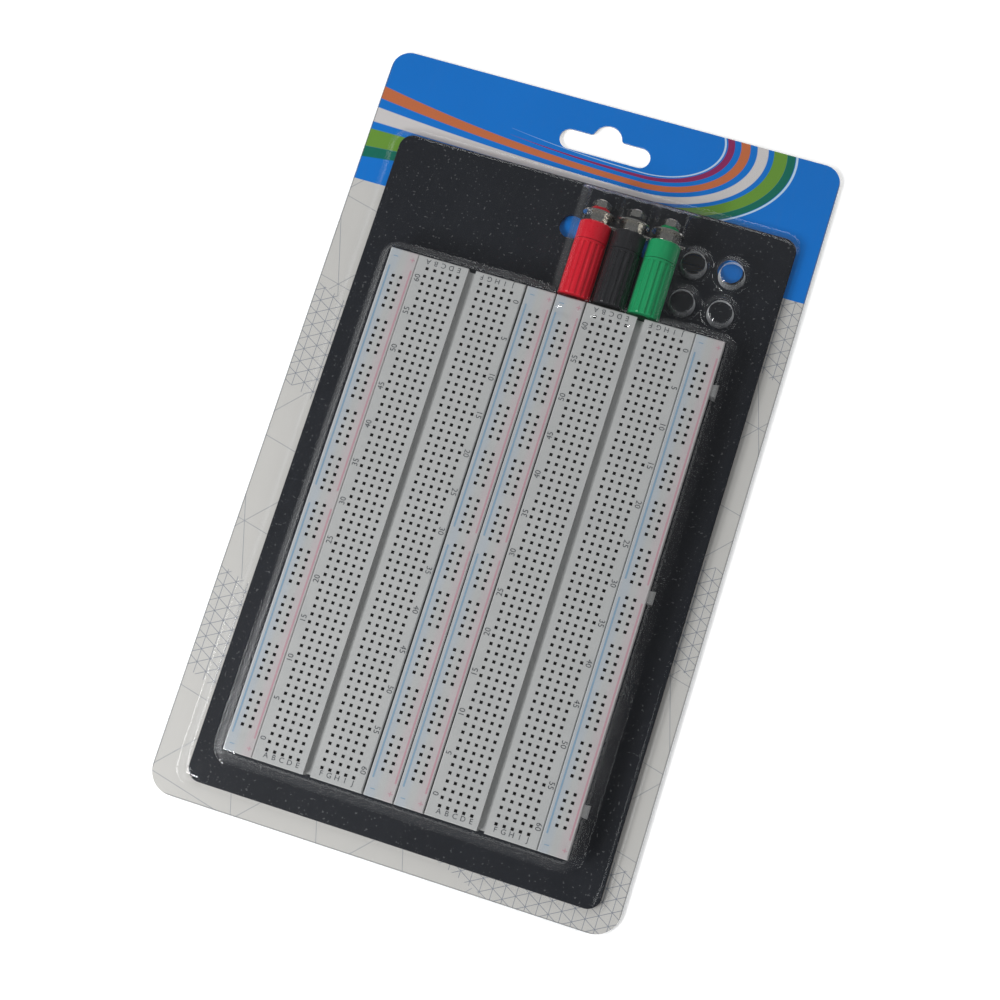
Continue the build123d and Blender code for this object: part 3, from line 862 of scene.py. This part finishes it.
# %% [markdown]
# ## The clear formed sheet
#
# The sheet was heated and drawn down over a mould, so it follows every shape beneath with soft
# corners and leaning walls. That is a height for each point of the card, so it is built as a
# height field: each pocket gives a height that falls from its flat top to its foot, and the
# highest one wins, with a smooth blend where two meet. Modelling the walls by hand could do it
# too, but every blend between two pockets would then be drawn separately.

# %% Soft minimum, maximum and wall
SHEET = 0.4          # thickness
CARD_GAP = 0.15
FLANGE = card_high.z + CARD_GAP + SHEET / 2
BEND = 0.17          # share of a wall's run that its rounded corners take


def soft_min(a, b, k):
    """The smaller of two heights, with the corner between them rounded over k."""
    near = np.maximum(k - np.abs(a - b), 0.0) / k
    return np.minimum(a, b) - near * near * k / 4


def soft_max(a, b, k):
    """The larger of two heights, with the corner between them rounded over k."""
    return -soft_min(-a, -b, k)


def wall(outside, run, low, high):
    """Height beside a flat top: outside is the distance beyond its edge."""
    fall = soft_min(soft_max(outside / run, np.zeros_like(outside), BEND), 1.0, BEND)
    return high + (low - high) * fall


def beyond(x, y, x0, x1, y0, y1, corner):
    """Distance outside a rectangle with rounded corners, negative inside it."""
    dx = np.abs(x - (x0 + x1) / 2) - ((x1 - x0) / 2 - corner)
    dy = np.abs(y - (y0 + y1) / 2) - ((y1 - y0) / 2 - corner)
    outer = np.hypot(np.maximum(dx, 0), np.maximum(dy, 0))
    return outer + np.minimum(np.maximum(dx, dy), 0) - corner


# %% [markdown]
# Four kinds of pocket: a low one over the whole plate, a square-cornered one over the strips,
# three round humps over the posts, and round pockets over the feet. Each takes its place from
# the pieces beneath and its height from a small head room over them. The humps are a circle
# on top and run into straight sides, as a sheet does when it is pulled between two moulds.

# %% Heights of the pockets
PLATE_HEAD_ROOM, STRIP_HEAD_ROOM, POST_HEAD_ROOM, FOOT_HEAD_ROOM = 1.5, 0.4, 0.6, 0.5
PLATE_RUN, STRIP_RUN, POST_RUN, FOOT_RUN = 3.0, 3.4, 3.3, 1.9    # how far the walls lean out
PLATE_CORNER, STRIP_CORNER, POST_CORNER = 3.6, 2.6, 3.0
PLATE_SIDE_IN, PLATE_END_IN, PLATE_SHIFT = 0.2, 1.0, 1.0
STRIP_ROOM = 0.8
POST_SIDE, POST_BEHIND, POST_FRONT = 12.0, 1.5, 4.0
HUMP_BLEND, HUMP_END_BLEND, HUMP_SLOPE, HUMP_FLOOR = 1.0, 0.8, 2.2, 5.0
FOOT_RADIUS, FOOT_WEB = 4.05, 2.6
POCKET_BLEND = 0.7
PLATEAU = plate_high.z + PLATE_HEAD_ROOM + SHEET / 2
STRIP_ROOF = STRIP_TOP + STRIP_HEAD_ROOM + SHEET / 2
post_boxes = [box_mm(f"{colour}_cap") for colour in ("red", "black", "green")]
post_centres = [(low.x + high.x) / 2 for low, high in post_boxes]
post_axis = (post_boxes[0][0].z + post_boxes[0][1].z) / 2
cap_radius = (post_boxes[0][1].z - post_boxes[0][0].z) / 2
stud_end = box_mm("red_stud")[1].y
foot_boxes = [box_mm(f"foot_{number}") for number in range(1, 5)]
HUMP_RADIUS = cap_radius + POST_HEAD_ROOM + SHEET / 2


def plate_pocket(x, y):
    """The low pocket over the whole plate."""
    centre = (plate_low.x + plate_high.x) / 2 - PLATE_SHIFT
    half = (plate_high.x - plate_low.x) / 2 - PLATE_SIDE_IN
    outside = beyond(x, y, centre - half, centre + half, plate_low.y + PLATE_END_IN,
                     plate_high.y - PLATE_END_IN, PLATE_CORNER)
    return wall(outside, PLATE_RUN, FLANGE, PLATEAU)


def strip_pocket(x, y):
    """The pocket over the socket strips."""
    outside = beyond(x, y, strips_left - STRIP_ROOM, strips_right + STRIP_ROOM,
                     strips_bottom - STRIP_ROOM, strips_top + STRIP_ROOM, STRIP_CORNER)
    return wall(outside, STRIP_RUN, PLATEAU, STRIP_ROOF)


def post_pocket(x, y):
    """Three humps over the posts, closed by one sloping wall."""
    hump = np.full_like(x, PLATEAU - HUMP_FLOOR)
    turn = HUMP_RADIUS * HUMP_SLOPE / math.hypot(1, HUMP_SLOPE)
    for centre in post_centres:
        dx = np.abs(x - centre)
        arc = post_axis + np.sqrt(np.maximum(HUMP_RADIUS ** 2 - dx * dx, 0.01))
        turn_z = post_axis + math.sqrt(HUMP_RADIUS ** 2 - turn * turn)
        line = turn_z - HUMP_SLOPE * (dx - turn)
        hump = soft_max(hump, np.where(dx < turn, arc, line), HUMP_BLEND)
    outside = beyond(x, y, post_centres[0] - POST_SIDE, post_centres[-1] + POST_SIDE,
                     strips_top - POST_FRONT, stud_end + POST_BEHIND, POST_CORNER)
    roof = wall(outside, POST_RUN, PLATEAU, post_axis + HUMP_RADIUS)
    return soft_min(hump, roof, HUMP_END_BLEND)


def foot_pocket(x, y):
    """Four round pockets joined by low webs."""
    outside = np.full_like(x, 99.0)
    for low, high in foot_boxes:
        middle = (low + high) / 2
        from_foot = np.hypot(x - middle.x, y - middle.y) - FOOT_RADIUS
        outside = soft_min(outside, from_foot, FOOT_WEB)
    roof = foot_boxes[0][1].z + FOOT_HEAD_ROOM + SHEET / 2
    return wall(outside, FOOT_RUN, PLATEAU, roof)


def join(a, b, k):
    """The higher of two lifts above the low pocket's top, blended only where they rise."""
    rise = np.clip(np.maximum(a, b) / k, 1e-4, 1.0)
    return soft_max(a, b, k * rise)


def sheet_height(x, y):
    """Middle of the sheet's thickness over each point of the card."""
    lift = join(strip_pocket(x, y) - PLATEAU, post_pocket(x, y) - PLATEAU, POCKET_BLEND)
    lift = join(lift, foot_pocket(x, y) - PLATEAU, POCKET_BLEND)
    return plate_pocket(x, y) + np.maximum(lift, 0.0)


# %% [markdown]
# Grid lines stand half a millimetre apart across walls and humps, a third of a millimetre
# apart over the small round feet, and several millimetres apart over flats. Smooth shading over
# such a grid gives clean highlights at a modest size. An even grid at the finest spacing would
# have about eight times the faces.

# %% The grid
def grid_lines(fine_zones, end, coarse=6.0):
    """Positions from the first zone's start to end; each zone gives its start, end and spacing."""
    lines = []
    following = [zone[0] for zone in fine_zones[1:]] + [end]
    for (low, high, spacing), after in zip(fine_zones, following):
        lines.extend(np.linspace(low, high, max(2, round((high - low) / spacing)), endpoint=False))
        if after > high:
            steps = max(1, round((after - high) / coarse))
            lines.extend(np.linspace(high, after, steps, endpoint=False))
    lines.append(end)
    return np.array(sorted(set(np.round(lines, 4))))


FINE, FINEST = 0.5, 0.32
OUTER, STRIP_OUTER, INNER = 3.2, 5.2, 0.4     # how far the fine zones reach past the pieces
FEET_ROOM = 3.2
feet_left = min(low.x for low, high in foot_boxes) - FEET_ROOM
feet_right = max(high.x for low, high in foot_boxes) + FEET_ROOM
feet_low = min(low.y for low, high in foot_boxes) - FEET_ROOM
feet_high = max(high.y for low, high in foot_boxes) + FEET_ROOM
# Each zone is a start, an end and a spacing, and covers one wall's run with a little to spare.
x_zones = [(plate_low.x - 5.6, plate_low.x + INNER, FINE),
           (strips_left - STRIP_OUTER, strips_left + INNER, FINE),
           (post_centres[0] - 9.5, feet_left, FINE), (feet_left, feet_right, FINEST),
           (feet_right, strips_right + 5.4, FINE), (plate_high.x - 3.0, plate_high.x + OUTER, FINE)]
y_zones = [(plate_low.y - 3.4, plate_low.y + 2.0, FINE),
           (strips_bottom - STRIP_OUTER, strips_bottom + INNER, FINE),
           (strips_top - 5.0, feet_low, FINE), (feet_low, feet_high, FINEST),
           (feet_high, plate_high.y + OUTER, FINE)]
GRID_END = 3.6
grid_x = grid_lines(x_zones, plate_high.x + GRID_END)
grid_y = grid_lines(y_zones, plate_high.y + GRID_END)
mesh_x, mesh_y = np.meshgrid(grid_x, grid_y)
mesh_z = sheet_height(mesh_x, mesh_y)
print("grid:", len(grid_x), "by", len(grid_y), "height", round(float(mesh_z.max()), 2))

# %% [markdown]
# Round the grid lies the flat flange, cut to the pack's outline and pierced by the hanging
# slot. Its corners are arcs, and its lower corners are rounder than the upper ones. The very
# edge rolls down a little where the sheet was trimmed, which draws a thin bright line there.

# %% Outlines
def arc(centre_x, centre_y, radius, start, end, steps):
    """Points along an arc, angles in degrees."""
    angles = np.radians(np.linspace(start, end, steps))
    return [(centre_x + radius * math.cos(a), centre_y + radius * math.sin(a)) for a in angles]


ROLL_WIDTH, ROLL_DROP = 0.8, 0.08
TOP_TRIM = 0.04      # keeps the cut top edge's rounded corners inside the pack
TOP_CORNER, FOOT_CORNER, CORNER_POINTS = 6.0, 8.0, 12


def flange_outline(inward=0.0):
    """The sheet's outer edge, or a line inside it: tighter corners above, rounder below."""
    inset = SHEET / 2 + inward
    x0, x1 = pack_low.x + inset, pack_high.x - inset
    y0, y1 = pack_low.y + inset, pack_high.y - TOP_TRIM - inward
    top, foot = TOP_CORNER - inward, FOOT_CORNER - inward
    points = arc(x1 - foot, y0 + foot, foot, -90, 0, CORNER_POINTS)
    points += arc(x1 - top, y1 - top, top, 0, 90, CORNER_POINTS)
    points += arc(x0 + top, y1 - top, top, 90, 180, CORNER_POINTS)
    points += arc(x0 + foot, y0 + foot, foot, 180, 270, CORNER_POINTS)
    return points


SLOT_WIDTH, SLOT_HEIGHT, SLOT_BUMP, SLOT_RISE, SLOT_FROM_TOP = 30.3, 6.7, 9.5, 11.0, 17.5


def in_slot(x, y):
    """Whether a point lies inside the hanging slot."""
    low = pack_high.y - SLOT_FROM_TOP
    radius = SLOT_HEIGHT / 2
    past_ends = max(abs(x) - (SLOT_WIDTH / 2 - radius), 0.0)
    in_bar = math.hypot(past_ends, y - low - radius) < radius
    return in_bar or math.hypot(x, y - low - SLOT_RISE + SLOT_BUMP / 2) < SLOT_BUMP / 2


def slot_outline():
    """The hanging slot: a long rounded slot with a round bump above."""
    low = pack_high.y - SLOT_FROM_TOP
    radius = SLOT_HEIGHT / 2
    reach = SLOT_WIDTH / 2 - radius
    bump_y = low + SLOT_RISE - SLOT_BUMP / 2
    shoulder = math.degrees(math.asin((low + SLOT_HEIGHT - bump_y) / (SLOT_BUMP / 2)))
    points = arc(reach, low + radius, radius, -90, 90, 12)
    points += arc(0, bump_y, SLOT_BUMP / 2, shoulder, 180 - shoulder, 18)
    points += arc(-reach, low + radius, radius, 90, 270, 12)
    return points


# %% [markdown]
# The flange is filled between three closed loops: a line just inside its outer edge, the grid's
# rim and the slot. A Delaunay triangulation that must keep those loops' edges does it in one
# call, and triangles inside the grid or the slot are dropped. Three of the pack's sides then turn
# down and under the card as folded lips. A Solidify modifier gives the whole surface its
# thickness, so the sheet is drawn once, at its middle.

# %% Building the sheet
FOLD_REACH, FOLD_END = 6.0, 9.0     # how far the lips reach in, and stop short of the corners


def grid_rim(columns, rows):
    """Indices of a grid's edge points, in order round it."""
    last = (rows - 1) * columns
    rim = list(range(columns))
    rim += [row * columns + columns - 1 for row in range(1, rows)]
    rim += [last + column for column in range(columns - 2, -1, -1)]
    rim += [row * columns for row in range(rows - 2, 0, -1)]
    return rim


def add_loop(work, points, z):
    """A closed loop of points."""
    return [work.verts.new((x * MM, y * MM, z * MM)) for x, y in points]


def fill_flange(work, loops):
    """Flat triangles between the outer loop, the grid's rim and the hanging slot."""
    corners = [vertex for loop in loops for vertex in loop]
    ties, start = [], 0
    for loop in loops:
        ties += [(start + step, start + (step + 1) % len(loop)) for step in range(len(loop))]
        start += len(loop)
    flat = [vertex.co.xy / MM for vertex in corners]
    found = delaunay_2d_cdt(flat, ties, [], 0, 1e-5)
    source = [ids[0] for ids in found[3]]
    for triangle in found[2]:
        x, y = (sum(found[0][index][axis] for index in triangle) / 3 for axis in (0, 1))
        in_grid = grid_x[0] < x < grid_x[-1] and grid_y[0] < y < grid_y[-1]
        if not in_grid and not in_slot(x, y):
            work.faces.new([corners[source[index]] for index in triangle])


def fold_lips(work):
    """Lips folded down and under the card, on both sides and the foot."""
    inset = SHEET / 2
    x0, x1 = pack_low.x + inset, pack_high.x - inset
    y0, y1 = pack_low.y + inset, pack_high.y
    low_z = inset
    runs = [((x1, y0 + FOLD_END), (x1, y1 - FOLD_END), (-1, 0)),
            ((x0, y1 - FOLD_END), (x0, y0 + FOLD_END), (1, 0)),
            ((x0 + FOLD_END, y0), (x1 - FOLD_END, y0), (0, 1))]
    for start, end, inward in runs:
        profile = [(0.0, FLANGE - ROLL_DROP), (0.0, low_z), (FOLD_REACH - inset, low_z)]
        rows = []
        for x, y in (start, end):
            rows.append([work.verts.new(((x + inward[0] * reach) * MM,
                                         (y + inward[1] * reach) * MM, z * MM))
                         for reach, z in profile])
        for step in range(len(profile) - 1):
            work.faces.new((rows[0][step + 1], rows[1][step + 1], rows[1][step], rows[0][step]))


def blister_mesh():
    """The whole sheet as one surface at the middle of its thickness."""
    work = bmesh.new()
    rows, columns = mesh_x.shape
    verts = [work.verts.new((x * MM, y * MM, z * MM)) for x, y, z in
             zip(mesh_x.ravel(), mesh_y.ravel(), mesh_z.ravel())]
    for row in range(rows - 1):
        for column in range(columns - 1):
            start = row * columns + column
            work.faces.new((verts[start], verts[start + 1], verts[start + columns + 1],
                            verts[start + columns]))
    rim = [verts[index] for index in grid_rim(columns, rows)]
    inner = add_loop(work, flange_outline(ROLL_WIDTH), FLANGE)
    outer = add_loop(work, flange_outline(), FLANGE - ROLL_DROP)
    fill_flange(work, (inner, rim, add_loop(work, slot_outline(), FLANGE)))
    for step in range(len(outer)):
        after = (step + 1) % len(outer)
        work.faces.new((outer[step], outer[after], inner[after], inner[step]))
    fold_lips(work)
    bmesh.ops.remove_doubles(work, verts=work.verts, dist=0.00001)
    bmesh.ops.recalc_face_normals(work, faces=work.faces)
    mesh = bpy.data.meshes.new("blister")
    work.to_mesh(mesh)
    work.free()
    return mesh


blister_sheet = blister_mesh()
for face in blister_sheet.polygons:
    on_grid = all(index < mesh_x.size for index in face.vertices)
    face.use_smooth = on_grid
blister = new_object("clear_blister", blister_sheet)
solid = blister.modifiers.new("thickness", "SOLIDIFY")
solid.thickness = SHEET * MM
solid.offset = 0.0
solid.use_even_offset = True
clear_sheet = clear_finish("clear_sheet", facing_share=0.016, haze=0.005, rough=0.02,
                           marks=0.010, tint=(0.94, 0.95, 0.96, 1))
blister_sheet.materials.append(clear_sheet)
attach(blister, "kit")
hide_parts("blister_shell")
print("sheet faces:", len(blister_sheet.polygons))

# %% [markdown]
# ## Floor finish
#
# A sweep of pale paper, lit from all round, comes out almost white. Its faint tone follows a
# slow noise, and a little light of its own stands in for the room that isn't built.

# %% Floor finish
FLOOR_GLOW = 0.34


def floor_finish():
    """Plain pale floor."""
    finish = Finish("pale_floor")
    tone = finish.noise(300.0, 2.0)
    colour = finish.mix(tone, (0.93, 0.93, 0.93, 1), (0.91, 0.91, 0.91, 1))
    glow = {"Emission_Color": (1, 1, 1, 1), "Emission_Strength": FLOOR_GLOW}
    return finish.done(finish.surface(Base_Color=colour, Roughness=0.9, **glow))


floor_mesh.materials.append(floor_finish())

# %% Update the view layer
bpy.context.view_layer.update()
